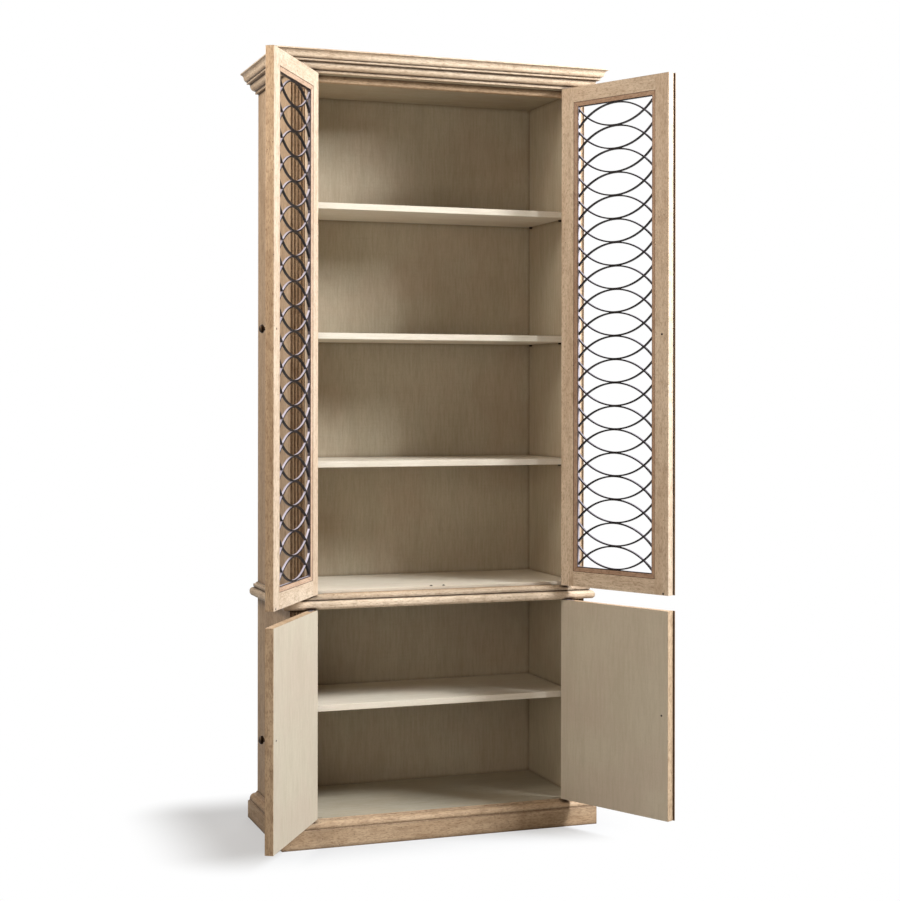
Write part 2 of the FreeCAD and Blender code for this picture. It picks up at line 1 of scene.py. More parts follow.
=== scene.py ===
"""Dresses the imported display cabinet: finishes, grilles, knobs, small hardware, light, floor, camera.

Lengths are metres. The cabinet stands on the floor with its front towards -Y, and its doors are
packed standing open, so each door has a frame of its own in which its pieces are laid out closed.
"""

from __future__ import annotations

import json
import logging
import math
from contextlib import contextmanager
from dataclasses import dataclass, replace
from enum import Enum
from typing import Iterator, Sequence

import bpy
from mathutils import Matrix, Quaternion, Vector

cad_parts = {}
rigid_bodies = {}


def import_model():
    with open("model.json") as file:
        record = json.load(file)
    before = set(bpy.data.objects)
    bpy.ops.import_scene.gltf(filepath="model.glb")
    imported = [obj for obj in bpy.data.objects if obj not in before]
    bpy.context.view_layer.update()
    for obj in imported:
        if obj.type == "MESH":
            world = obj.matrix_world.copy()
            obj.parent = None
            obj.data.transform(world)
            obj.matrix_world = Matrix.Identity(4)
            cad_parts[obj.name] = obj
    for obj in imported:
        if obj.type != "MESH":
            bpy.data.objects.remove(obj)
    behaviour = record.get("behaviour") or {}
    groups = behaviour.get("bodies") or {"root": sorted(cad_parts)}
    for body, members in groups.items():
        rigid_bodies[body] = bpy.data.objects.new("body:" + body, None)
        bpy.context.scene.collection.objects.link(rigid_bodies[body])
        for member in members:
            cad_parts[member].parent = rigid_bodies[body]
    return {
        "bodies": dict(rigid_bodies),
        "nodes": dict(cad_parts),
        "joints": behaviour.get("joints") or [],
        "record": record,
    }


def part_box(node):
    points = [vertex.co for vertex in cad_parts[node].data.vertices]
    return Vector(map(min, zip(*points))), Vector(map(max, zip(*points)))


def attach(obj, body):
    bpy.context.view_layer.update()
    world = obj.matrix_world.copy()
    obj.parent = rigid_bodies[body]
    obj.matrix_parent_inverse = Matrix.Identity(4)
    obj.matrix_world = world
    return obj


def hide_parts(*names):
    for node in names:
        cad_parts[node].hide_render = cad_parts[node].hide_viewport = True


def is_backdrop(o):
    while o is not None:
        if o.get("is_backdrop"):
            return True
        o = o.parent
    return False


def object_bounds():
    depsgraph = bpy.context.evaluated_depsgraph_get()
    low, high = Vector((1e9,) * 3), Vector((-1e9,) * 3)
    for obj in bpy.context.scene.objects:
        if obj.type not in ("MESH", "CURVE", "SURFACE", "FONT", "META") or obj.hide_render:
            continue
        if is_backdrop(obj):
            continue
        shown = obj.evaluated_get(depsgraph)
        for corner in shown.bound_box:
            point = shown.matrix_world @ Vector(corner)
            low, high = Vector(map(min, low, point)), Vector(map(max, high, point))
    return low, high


LOG = logging.getLogger("display_cabinet")
MM = 0.001

# How far below a board's face its paint still reaches
FACE_SKIN = 0.15 * MM
# Vertices closer than this are one
WELD = 0.01 * MM
# The part of a noise's range that a roughness follows
NOISE_CORE = (0.3, 0.7)

Colour = tuple[float, float, float, float]
Pair = tuple[float, float]
Outline = tuple[Pair, ...]
Piece = bpy.types.Object
Socket = bpy.types.NodeSocket
WHITE: Colour = (1.0, 1.0, 1.0, 1.0)


def tone(*channels: int) -> Colour:
    """Turns a colour as a screen shows it into the linear one that a shader takes.

    Args:
        channels: Red, green and blue, from 0 to 255.

    Returns:
        The linear colour, with full alpha.
    """
    shares = [channel / 255 for channel in channels]
    linear = [s / 12.92 if s <= 0.04045 else ((s + 0.055) / 1.055) ** 2.4 for s in shares]
    return (*linear, 1.0)


class Grain(Enum):
    """Direction in which a board's fibres, or its brush strokes, run."""

    ALONG = 0
    DEEP = 1
    UPRIGHT = 2


class Side(Enum):
    """Which side of a plane a coat of paint lies on."""

    BELOW = -1
    ABOVE = 1


@dataclass(frozen=True)
class Layer:
    """What a surface looks like before it reaches its shader."""

    colour: Socket
    roughness: Socket
    height: Socket


class NodeBoard:
    """Adds and links the nodes of a material or a world, in columns from left to right.

    Where a value is an object, it is a plain value or the socket that gives it.
    """

    COLUMN = 190
    ROW = 220
    ROWS = 6
    # Share of a dot's radius inside which it is full
    DOT_CORE = 0.6

    def __init__(self, owner: bpy.types.Material | bpy.types.World) -> None:
        """Starts with no nodes.

        Args:
            owner: The material or the world.
        """
        owner.use_nodes = True
        self.tree = owner.node_tree
        self.tree.nodes.clear()
        self.count = 0

    def add(
        self, kind: str, feeds: dict[int | str, object] | None = None, **settings: object
    ) -> bpy.types.Node:
        """Adds a node.

        Args:
            kind: The node's type.
            feeds: What its inputs get, by their numbers or names.
            settings: Properties to set on it.

        Returns:
            The node.
        """
        column, row = divmod(self.count, self.ROWS)
        node = self.tree.nodes.new(kind)
        node.location = (self.COLUMN * column, -self.ROW * row)
        self.count += 1
        for key, value in settings.items():
            setattr(node, key, value)
        for key, value in (feeds or {}).items():
            if isinstance(value, Socket):
                self.tree.links.new(value, node.inputs[key])
            else:
                node.inputs[key].default_value = value
        return node

    def math(self, operation: str, first: object, second: object = 0.0) -> Socket:
        """Works on two numbers."""
        return self.add("ShaderNodeMath", {0: first, 1: second}, operation=operation).outputs[0]

    def times(self, first: object, second: object) -> Socket:
        """Multiplies two numbers."""
        return self.math("MULTIPLY", first, second)

    def vector(
        self, operation: str, first: object, second: object = (0.0, 0.0, 0.0), out: int | str = 0
    ) -> Socket:
        """Works on two vectors."""
        node = self.add("ShaderNodeVectorMath", {0: first, 1: second}, operation=operation)
        return node.outputs[out]

    def split(self, vector: Socket) -> Sequence[Socket]:
        """Takes a vector apart into its three numbers."""
        return self.add("ShaderNodeSeparateXYZ", {0: vector}).outputs

    def spread(
        self, value: object, low: float, high: float, start: float = 0.0, end: float = 1.0
    ) -> Socket:
        """Maps low to start and high to end, smoothly between them and level beyond them."""
        feeds = {"Value": value, "From Min": low, "From Max": high, "To Min": start, "To Max": end}
        return self.add("ShaderNodeMapRange", feeds, interpolation_type="SMOOTHSTEP").outputs[0]

    def blend(self, share: object, first: object, second: object) -> Socket:
        """Mixes two colours, with the share for the second one."""
        return self.add("ShaderNodeMix", {0: share, 6: first, 7: second}, data_type="RGBA").outputs[2]

    def between(self, share: object, first: object, second: object) -> Socket:
        """Mixes two numbers, with the share for the second one."""
        return self.add("ShaderNodeMix", {0: share, 2: first, 3: second}, data_type="FLOAT").outputs[0]

    def tint(self, share: object, colour: object, stain: object) -> Socket:
        """Stains a colour, as a thin glaze of the stain does."""
        feeds = {0: share, 6: colour, 7: stain}
        return self.add("ShaderNodeMix", feeds, data_type="RGBA", blend_type="MULTIPLY").outputs[2]

    def cover(self, colour: object, mask: Socket, strength: float, coat: Colour) -> Socket:
        """Covers a colour with a coat where the mask is, as far as the strength goes."""
        return self.blend(self.times(mask, strength), colour, coat)

    def dots(self, place: Socket, scale: float, radius: float, kept: float) -> Socket:
        """Scatters round dots.

        Args:
            place: Where the surface point is.
            scale: Cells in a metre, with at most one dot each.
            radius: A dot's radius in metres.
            kept: Share of the cells that keep their dot.

        Returns:
            A mask that is 1 inside a dot.
        """
        cells = self.add("ShaderNodeTexVoronoi", {"Vector": place, "Scale": scale}).outputs
        radius *= scale
        inside = self.spread(cells["Distance"], radius, radius * self.DOT_CORE)
        lot = self.add("ShaderNodeSeparateColor", {0: cells["Color"]}).outputs[0]
        return self.times(inside, self.math("LESS_THAN", lot, kept))

    def seen(self) -> Socket:
        """Adds a mask of the rays that show a surface to the camera.

        Returns:
            A mask that is 1 for what is seen directly, mirrored or through something clear.
        """
        path = self.add("ShaderNodeLightPath").outputs
        seen = self.math("MAXIMUM", path["Is Camera Ray"], path["Is Glossy Ray"])
        return self.math("MAXIMUM", seen, path["Is Transmission Ray"])


@dataclass(frozen=True)
class Ground:
    """What a finish is laid on.

    The place is the surface point's, with its door closed. The pattern is that place, moved by a
    length of its own for each piece, and the normal is rounded at the arrises. The masks show
    handled edges, hollows that take a darker wash, partly real staining and partly painted
    shade, and sides that face up, where metal takes a painted highlight.
    """

    board: NodeBoard
    grain: Grain
    place: Socket
    pattern: Socket
    normal: Socket
    edge: Socket
    hollow: Socket
    above: Socket


@dataclass(frozen=True)
class Facing:
    """A face of a board that has a coat of its own: the plane it lies in, and its side."""

    axis: Grain
    plane: float
    side: Side

    def mask(self, ground: Ground) -> Socket:
        """Adds a mask of the face.

        Args:
            ground: What the coat is laid on.

        Returns:
            A mask that is 1 on that face.
        """
        along = ground.board.split(ground.place)[self.axis.value]
        test = "GREATER_THAN" if self.side is Side.ABOVE else "LESS_THAN"
        return ground.board.math(test, along, self.plane - self.side.value * FACE_SKIN)


@dataclass(frozen=True)
class Marks:
    """One kind of mark: the noise it follows, and where in the noise it shows.

    The scale is in patches a metre, and the stretch is how many times longer than wide a patch
    is. The marks grow from nothing at low to their full share at high.
    """

    scale: float
    stretch: float
    octaves: float
    fineness: float
    low: float
    high: float
    share: float = 1.0
    swirl: float = 0.0
    crossing: bool = False

    def noise(self, ground: Ground) -> Socket:
        """Adds the noise.

        Args:
            ground: What the marks are laid on.

        Returns:
            The noise's socket, about 0.5 on average.
        """
        place = ground.pattern
        grain = ground.grain
        if self.crossing:
            grain = Grain.ALONG if grain is Grain.UPRIGHT else Grain.DEEP
        if self.stretch != 1.0:
            squeeze = [self.stretch] * 3
            squeeze[grain.value] = 1.0
            feeds = {"Vector": place, "Scale": squeeze}
            place = ground.board.add("ShaderNodeMapping", feeds).outputs[0]
        feeds = {
            "Vector": place,
            "Scale": self.scale,
            "Detail": self.octaves,
            "Roughness": self.fineness,
            "Distortion": self.swirl,
        }
        return ground.board.add("ShaderNodeTexNoise", feeds).outputs[0]

    def shown(self, board: NodeBoard, noise: Socket) -> Socket:
        """Turns the noise into the marks' share of the surface."""
        return board.spread(noise, self.low, self.high, 0.0, self.share)

    def laid(self, ground: Ground) -> Socket:
        """Adds the noise and turns it into the marks' share."""
        return self.shown(ground.board, self.noise(ground))


@dataclass(frozen=True)
class WashedWood:
    """Light brown wood under a thin pale wash, with open pores and a few small worm holes."""

    pale: Colour = tone(200, 172, 141)
    body: Colour = tone(182, 153, 122)
    dark: Colour = tone(122, 92, 66)
    pit: Colour = tone(58, 40, 27)
    edge: Colour = tone(140, 106, 76)
    # Hollow colour: partly an antique stain, partly painted shade where shade falls in hollows
    glaze_and_shade: Colour = tone(52, 34, 22)
    roughness: Pair = (0.49, 0.66)
    gloss: float = 0.14
    metallic: float = 0.0
    rounding: float = 0.9 * MM
    deepest: float = 0.48
    figure: Marks = Marks(1.6, 9.0, 3.0, 0.55, low=0.32, high=0.68, swirl=0.6)
    fibre: Marks = Marks(9.0, 24.0, 3.0, 0.6, low=0.42, high=0.72, share=0.24)
    mottle: Marks = Marks(26.0, 2.2, 4.0, 0.65, low=0.44, high=0.74, share=0.42, swirl=0.3)
    fleck: Marks = Marks(75.0, 5.0, 2.0, 0.6, low=0.48, high=0.68, share=0.52)
    pore: Marks = Marks(150.0, 5.0, 1.0, 0.5, low=0.58, high=0.72, share=0.45)
    rubbing: float = 0.5
    glaze_and_shade_strength: float = 0.92
    hole_scale: float = 62.0
    hole_radius: float = 1.5 * MM
    hole_share: float = 0.34
    hole_depth: float = 4.0
    fibre_height: float = 0.6

    def lay(self, ground: Ground) -> Layer:
        """Lays the wood's nodes.

        Args:
            ground: What it is laid on.

        Returns:
            The wood's colour, roughness and height.
        """
        board = ground.board
        fibre = self.fibre.noise(ground)
        fleck = self.fleck.laid(ground)
        pore = self.pore.laid(ground)
        colour = board.blend(self.figure.laid(ground), self.body, self.pale)
        for share in (self.fibre.shown(board, fibre), self.mottle.laid(ground), fleck, pore):
            colour = board.blend(share, colour, self.dark)
        colour = board.cover(colour, ground.edge, self.rubbing, self.edge)
        # Darkens hollows: partly staining, partly painted shade
        colour = board.cover(colour, ground.hollow, self.glaze_and_shade_strength, self.glaze_and_shade)
        holes = board.dots(ground.pattern, self.hole_scale, self.hole_radius, self.hole_share)
        colour = board.blend(holes, colour, self.pit)
        sunk = board.math("ADD", fleck, pore)
        sunk = board.math("ADD", sunk, board.times(holes, self.hole_depth))
        height = board.math("SUBTRACT", board.times(fibre, self.fibre_height), sunk)
        return Layer(colour, board.spread(fibre, *NOISE_CORE, *self.roughness), height)


@dataclass(frozen=True)
class BrushedPaint:
    """Thin pale paint dragged over a darker coat, in strokes that cross like coarse linen."""

    light: Colour
    shade: Colour
    warm: Colour
    rubbed: Colour = tone(150, 120, 90)
    # Hollow colour: partly soiling, partly painted shade in hollows
    dirt_and_shade: Colour = tone(96, 76, 56)
    roughness: Pair = (0.54, 0.68)
    gloss: float = 0.2
    metallic: float = 0.0
    rounding: float = 0.9 * MM
    deepest: float = 0.48
    clouds: Marks = Marks(4.5, 1.0, 3.0, 0.6, low=0.36, high=0.66)
    strokes: Marks = Marks(14.0, 12.0, 4.0, 0.7, low=0.36, high=0.68, share=0.42)
    bands: Marks = Marks(2.6, 7.0, 2.0, 0.5, low=0.42, high=0.70, share=0.22)
    threads: Marks = Marks(9.0, 26.0, 2.0, 0.6, low=0.48, high=0.74, share=0.12, crossing=True)
    weave: Marks = Marks(170.0, 4.0, 2.0, 0.6, low=0.46, high=0.72, share=0.34)
    rubbing: float = 0.45
    grime_and_shade: float = 0.5
    speck_scale: float = 17.0
    speck_radius: float = 0.9 * MM
    speck_share: float = 0.16
    speck_strength: float = 0.7
    thread_height: float = 0.6

    def lay(self, ground: Ground) -> Layer:
        """Lays the paint's nodes.

        Args:
            ground: What it is laid on.

        Returns:
            The paint's colour, roughness and height.
        """
        board = ground.board
        strokes = self.strokes.noise(ground)
        threads = self.threads.noise(ground)
        weave = self.weave.noise(ground)
        colour = board.blend(self.clouds.laid(ground), self.light, self.warm)
        colour = board.blend(self.strokes.shown(board, strokes), colour, self.shade)
        colour = board.blend(self.bands.laid(ground), colour, self.shade)
        colour = board.blend(self.threads.shown(board, threads), colour, self.shade)
        colour = board.blend(self.weave.shown(board, weave), colour, self.shade)
        specks = board.dots(ground.pattern, self.speck_scale, self.speck_radius, self.speck_share)
        colour = board.cover(colour, specks, self.speck_strength, self.rubbed)
        colour = board.cover(colour, ground.edge, self.rubbing, self.rubbed)
        # Darkens hollows: partly soiling, partly painted shade
        colour = board.cover(colour, ground.hollow, self.grime_and_shade, self.dirt_and_shade)
        height = board.math("ADD", strokes, board.times(threads, self.thread_height))
        height = board.math("ADD", height, weave)
        return Layer(colour, board.spread(strokes, *NOISE_CORE, *self.roughness), height)


@dataclass(frozen=True)
class DarkMetal:
    """Dark patinated metal, lighter where it is rubbed, with painted highlight on sides facing up."""

    patina: Colour
    rubbed: Colour
    # Painted highlight colour for the sides that face up
    top_highlight: Colour
    roughness: Pair
    gloss: float
    metallic: float
    rounding: float = 1.0 * MM
    deepest: float = 0.48
    clouds: Marks = Marks(24.0, 1.0, 2.0, 0.5, low=0.45, high=0.75, share=0.35)
    mottle: Marks = Marks(180.0, 1.0, 3.0, 0.6, low=0.5, high=0.75, share=0.4)
    rubbing: float = 0.5
    top_highlight_strength: float = 0.9

    def lay(self, ground: Ground) -> Layer:
        """Lays the metal's nodes.

        Args:
            ground: What it is laid on.

        Returns:
            The metal's colour, roughness and height.
        """
        board = ground.board
        mottle = self.mottle.noise(ground)
        worn = board.times(ground.edge, self.rubbing)
        worn = board.math("MAXIMUM", self.clouds.laid(ground), worn)
        colour = board.blend(worn, self.patina, self.rubbed)
        colour = board.blend(self.mottle.shown(board, mottle), colour, self.patina)
        # Painted highlight: lightens the sides that face up, where the light falls
        colour = board.cover(colour, ground.above, self.top_highlight_strength, self.top_highlight)
        return Layer(colour, board.spread(mottle, *NOISE_CORE, *self.roughness), mottle)


Finish = WashedWood | BrushedPaint | DarkMetal


WOOD = WashedWood()
# Stronger painted shade in the pilasters' flutes
FLUTED_WOOD = WashedWood(deepest=0.74)
RAW_WOOD = WashedWood(roughness=(0.78, 0.95), gloss=0.02)
# Stronger painted shade in the mouldings' hollows
MOULDED_WOOD = WashedWood(deepest=0.66)
# Painted highlight: a paler copy of the wood for the crown and waist, standing for the strong light on
# them
HIGHLIT_MOULDING_WOOD = WashedWood(
    pale=tone(222, 201, 176), body=tone(206, 182, 155), dark=tone(146, 118, 92), deepest=0.66
)
LIMED_WOOD = WashedWood(pale=tone(215, 194, 170), body=tone(201, 177, 152), dark=tone(144, 117, 92))
# Painted shade: a darker copy of the wood for the right doors' lips, standing for the shade they lie in
SHADED_LIP_WOOD = WashedWood(pale=tone(146, 118, 92), body=tone(126, 98, 74), dark=tone(92, 68, 49))
WALL_PAINT = BrushedPaint(tone(188, 176, 154), tone(158, 145, 121), tone(184, 167, 145))
DECK_PAINT = BrushedPaint(tone(230, 220, 203), tone(206, 194, 170), tone(226, 212, 195))
# Painted shade: a darker copy of the paint for the lower floor, which lies in shade; the fixed hinge
# leaves take it too
SHADED_FLOOR_PAINT = BrushedPaint(tone(180, 171, 153), tone(158, 147, 125), tone(177, 165, 145))
DOOR_PAINT = BrushedPaint(tone(193, 181, 161), tone(173, 160, 139), tone(190, 174, 156))
FINE_MOTTLE = Marks(420.0, 1.0, 3.0, 0.6, low=0.5, high=0.75, share=0.4)
IRON = DarkMetal(
    tone(18, 14, 14), tone(58, 50, 54), tone(132, 124, 132),
    roughness=(0.34, 0.54), gloss=0.25, metallic=0.3, mottle=FINE_MOTTLE,
)
# Painted highlight: a lighter copy of the grille iron for the left grille, which faces the light; the
# right grille, in shade, keeps the darker iron
LIT_GRILLE_IRON = DarkMetal(
    tone(20, 15, 15), tone(66, 58, 62), tone(206, 197, 208),
    roughness=(0.32, 0.52), gloss=0.4, metallic=0.4, mottle=FINE_MOTTLE,
)
BRONZE = DarkMetal(
    tone(34, 25, 19), tone(104, 80, 56), tone(64, 49, 36),
    roughness=(0.30, 0.50), gloss=0.5, metallic=0.85,
)


@dataclass(frozen=True)
class Opening:
    """A door's opening, placed on the closed door. Half is half its width and height."""

    centre: Vector
    half: Vector

    def reach(self, board: NodeBoard, place: Sequence[Socket], axis: Grain) -> Socket:
        """Adds how far outside the opening the point lies along an axis, below 0 if inside."""
        away = board.math("SUBTRACT", place[axis.value], self.centre[axis.value])
        return board.math("SUBTRACT", board.math("ABSOLUTE", away), self.half[axis.value])


@dataclass(frozen=True)
class BeadRing(Opening):
    """The bead round a door's opening, on its inner side: its stain, its mitre lines, and the
    painted shade along its quirks.
    """

    face: float
    # The bead's stain, darker on the right door as painted shade
    stain: Colour
    # Dark line colour: painted shade in the quirks, and dark mitre joints
    shade_and_joint_line: Colour = tone(72, 49, 37)
    shade_and_joint_strength: float = 0.85
    width: float = 13.0 * MM
    depth: float = 4.4 * MM
    outer_line: float = 0.75 * MM
    inner_line: float = 0.6 * MM
    mitre_line: float = 0.375 * MM

    def stained(self, ground: Ground, colour: Socket) -> Socket:
        """Stains the bead, and draws dark lines: painted shade along its quirks, and mitre joints
        across its corners.

        Args:
            ground: What the wood is laid on.
            colour: The wood's colour.

        Returns:
            The stained colour's socket.
        """
        board = ground.board
        parts = board.split(ground.place)
        aside = self.reach(board, parts, Grain.ALONG)
        above = self.reach(board, parts, Grain.UPRIGHT)
        reach = board.math("MAXIMUM", aside, above)
        near = board.math("GREATER_THAN", parts[1], self.face - self.depth)
        bead = board.times(near, board.math("LESS_THAN", reach, self.width))
        colour = board.tint(bead, colour, self.stain)
        outer = self.ruled(board, board.math("SUBTRACT", reach, self.width), self.outer_line)
        inner = self.ruled(board, reach, self.inner_line)
        mitre = self.ruled(board, board.math("SUBTRACT", aside, above), self.mitre_line)
        lines = board.math("MAXIMUM", outer, inner)
        lines = board.math("MAXIMUM", lines, board.times(mitre, bead))
        return board.cover(colour, board.times(lines, near), self.shade_and_joint_strength, self.shade_and_joint_line)

    @staticmethod
    def ruled(board: NodeBoard, distance: Socket, line: float) -> Socket:
        """Adds a line where a distance is zero, fading from 0.5 to 1.5 times its half width."""
        return board.spread(board.math("ABSOLUTE", distance), 1.5 * line, 0.5 * line)


@dataclass(frozen=True)
class GrilleRim(Opening):
    """The strip round the grille, whose upright sides carry a painted highlight."""

    # Painted highlight colour for the upright sides
    metal: Colour
    strength: float = 0.9
    width: float = 2.2 * MM

    def stained(self, ground: Ground, colour: Socket) -> Socket:
        """Lays the painted highlight along both upright sides.

        Args:
            ground: What the iron is laid on.
            colour: The iron's colour.

        Returns:
            The new colour's socket.
        """
        board = ground.board
        aside = self.reach(board, board.split(ground.place), Grain.ALONG)
        rim = board.math("GREATER_THAN", aside, -self.width)
        return board.cover(colour, rim, self.strength, self.metal)


@dataclass(frozen=True)
class DoorFrame:
    """A door's own frame, in which it is closed, and the turn that opens it as packed."""

    name: str
    body: str
    pivot: Vector
    turn: float

    @classmethod
    def of(cls, name: str, joints: Sequence[dict]) -> DoorFrame:
        """Reads a door's frame from its hinge.

        Args:
            name: The door's name, such as upper_right.
            joints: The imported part's joints.

        Returns:
            The door's frame.
        """
        hinge = next(joint for joint in joints if joint["child"] == f"{name}_door")
        to_closed = hinge["range_deg"][0] * hinge["axis"][2]
        return cls(name, hinge["child"], Vector(hinge["pos_m"]), math.radians(-to_closed))

    @property
    def opening(self) -> Matrix:
        """The matrix that opens a piece laid out on the closed door."""
        shift = Matrix.Translation(self.pivot)
        return shift @ Matrix.Rotation(self.turn, 4, "Z") @ shift.inverted()

    def closed_box(self, node: Piece) -> tuple[Vector, Vector]:
        """Box of one of the door's nodes, as it is with the door closed.

        Args:
            node: The CAD node.

        Returns:
            Its lowest and highest corners.
        """
        closing = self.opening.inverted()
        points = [closing @ vertex.co for vertex in node.data.vertices]
        low = Vector([min(point[axis] for point in points) for axis in range(3)])
        high = Vector([max(point[axis] for point in points) for axis in range(3)])
        return low, high


@dataclass(frozen=True)
class Recipe:
    """What a material is made of.

    The door is the one that the piece is on, if any. The coat is a second finish, on one face
    only, and the ring marks out the piece's rim.
    """

    name: str
    finish: Finish
    grain: Grain
    door: DoorFrame | None = None
    coat: Finish | None = None
    facing: Facing | None = None
    ring: BeadRing | GrilleRim | None = None


SMALL_BRONZE = Recipe("bronze", BRONZE, Grain.UPRIGHT)
SMALL_IRON = Recipe("iron_small", IRON, Grain.UPRIGHT)


class Dresser:
    """Makes the material of each recipe once, and puts it on the pieces."""

    ARRIS_RAYS = 4
    ARRIS = (0.985, 0.86)
    # Reach, rays and open level of the hollow mask, which darkens hollows as staining and as painted
    # shade
    HOLLOW = 13.0 * MM
    HOLLOW_RAYS = 4
    OPEN_AIR = 0.92
    # Range of the upward mask, which takes the metals' painted highlight
    UPWARD = (0.20, 0.55)
    SHIFT = 23.0
    BUMP_STRENGTH = 0.35
    BUMP_HEIGHT = 0.25 * MM

    def __init__(self) -> None:
        """Starts with no material made."""
        self.made: dict[str, bpy.types.Material] = {}

    def dress(self, piece: Piece, recipe: Recipe) -> None:
        """Gives a piece its material.

        Args:
            piece: A CAD node or a new piece.
            recipe: What the material is made of.
        """
        if recipe.name not in self.made:
            self.made[recipe.name] = self.material(recipe)
        if not piece.material_slots:
            piece.data.materials.append(self.made[recipe.name])
        piece.material_slots[0].material = self.made[recipe.name]

    def material(self, recipe: Recipe) -> bpy.types.Material:
        """Makes a recipe's material.

        Args:
            recipe: What the material is made of.

        Returns:
            The material.
        """
        material = bpy.data.materials.new(recipe.name)
        ground = self.ground(NodeBoard(material), recipe)
        layer = recipe.finish.lay(ground)
        if recipe.ring is not None:
            layer = replace(layer, colour=recipe.ring.stained(ground, layer.colour))
        if recipe.coat is not None and recipe.facing is not None:
            upper = recipe.coat.lay(ground)
            share = recipe.facing.mask(ground)
            layer = Layer(
                ground.board.blend(share, layer.colour, upper.colour),
                ground.board.between(share, layer.roughness, upper.roughness),
                ground.board.between(share, layer.height, upper.height),
            )
        self.shade(ground, recipe.finish, layer)
        return material

    def ground(self, board: NodeBoard, recipe: Recipe) -> Ground:
        """Adds what the finishes are laid on.

        Args:
            board: The material's nodes.
            recipe: What the material is made of.

        Returns:
            The surface point's place and rounded normal, and the masks of its worn edges, of its
            hollows, which take staining and painted shade, and of its sides that face up.
        """
        place = board.add("ShaderNodeTexCoord").outputs["Object"]
        if recipe.door is not None:
            turn = (0.0, 0.0, recipe.door.turn)
            feeds = {"Vector": place, "Location": recipe.door.pivot, "Rotation": turn}
            place = board.add("ShaderNodeMapping", feeds, vector_type="TEXTURE").outputs[0]
        lot = board.add("ShaderNodeObjectInfo").outputs["Random"]
        pattern = board.vector("ADD", place, board.times(lot, self.SHIFT))
        radius = {"Radius": recipe.finish.rounding}
        rounded = board.add("ShaderNodeBevel", radius, samples=self.ARRIS_RAYS).outputs[0]
        flat = board.add("ShaderNodeNewGeometry").outputs["True Normal"]
        edge = board.spread(board.vector("DOT_PRODUCT", rounded, flat, "Value"), *self.ARRIS)
        # Ambient occlusion finds the hollows, which the finishes darken, partly as staining and partly
        # as painted shade
        reach = {"Distance": self.HOLLOW}
        air = board.add("ShaderNodeAmbientOcclusion", reach, samples=self.HOLLOW_RAYS)
        hollow = board.spread(air.outputs["AO"], self.OPEN_AIR, recipe.finish.deepest)
        above = board.spread(board.split(flat)[2], *self.UPWARD)
        return Ground(board, recipe.grain, place, pattern, rounded, edge, hollow, above)

    def shade(self, ground: Ground, finish: Finish, layer: Layer) -> None:
        """Ends a material with its shader.

        Args:
            ground: What the finish is laid on.
            finish: The finish, for its gloss and how metallic it is.
            layer: The surface's colour, roughness and height.
        """
        relief = {
            "Strength": self.BUMP_STRENGTH,
            "Distance": self.BUMP_HEIGHT,
            "Height": layer.height,
            "Normal": ground.normal,
        }
        surface = {
            "Base Color": layer.colour,
            "Roughness": layer.roughness,
            "Normal": ground.board.add("ShaderNodeBump", relief).outputs[0],
            "Specular IOR Level": finish.gloss,
            "Metallic": finish.metallic,
        }
        shader = ground.board.add("ShaderNodeBsdfPrincipled", surface).outputs[0]
        ground.board.add("ShaderNodeOutputMaterial", {"Surface": shader})


@contextmanager
def editing(select: str | None = "SELECT") -> Iterator[None]:
    """Opens the active piece in edit mode, and closes it again.

    Args:
        select: What to do with its vertices, SELECT or DESELECT. None keeps what is selected.

    Yields:
        Nothing.
    """
    bpy.ops.object.mode_set(mode="EDIT")
    if select is not None:
        bpy.ops.mesh.select_all(action=select)
    yield
    bpy.ops.object.mode_set(mode="OBJECT")


def clear_bench() -> None:
    """Deselects every object, so that an operator acts on the new piece alone."""
    bpy.ops.object.select_all(action="DESELECT")


def pick(*pieces: Piece) -> None:
    """Selects these pieces alone, and makes the last one active.

    Args:
        pieces: The pieces.
    """
    clear_bench()
    for piece in pieces:
        piece.select_set(True)
    bpy.context.view_layer.objects.active = pieces[-1]


def fix_transform() -> None:
    """Leaves the place, turn and size of the selected pieces in their meshes."""
    bpy.ops.object.transform_apply(location=True, rotation=True, scale=True)


def settle(piece: Piece, place: Matrix) -> None:
    """Puts a piece in its place and leaves that place in its mesh.

    Args:
        piece: The piece, built round the origin.
        place: Where it goes.
    """
    pick(piece)
    piece.matrix_world = place @ piece.matrix_world
    fix_transform()


def apply_modifiers(piece: Piece) -> None:
    """Applies the active piece's modifiers in order."""
    for modifier in list(piece.modifiers):
        bpy.ops.object.modifier_apply(modifier=modifier.name)


def mend_normals() -> None:
    """Merges the active piece's doubled vertices and turns its faces outwards."""
    with editing():
        bpy.ops.mesh.remove_doubles(threshold=WELD)
        bpy.ops.mesh.normals_make_consistent(inside=False)


def drawn(shares: Outline, radius: float, height: float) -> Outline:
    """Draws an outline from its shares of a radius and of a height."""
    return tuple((across * radius, up * height) for across, up in shares)


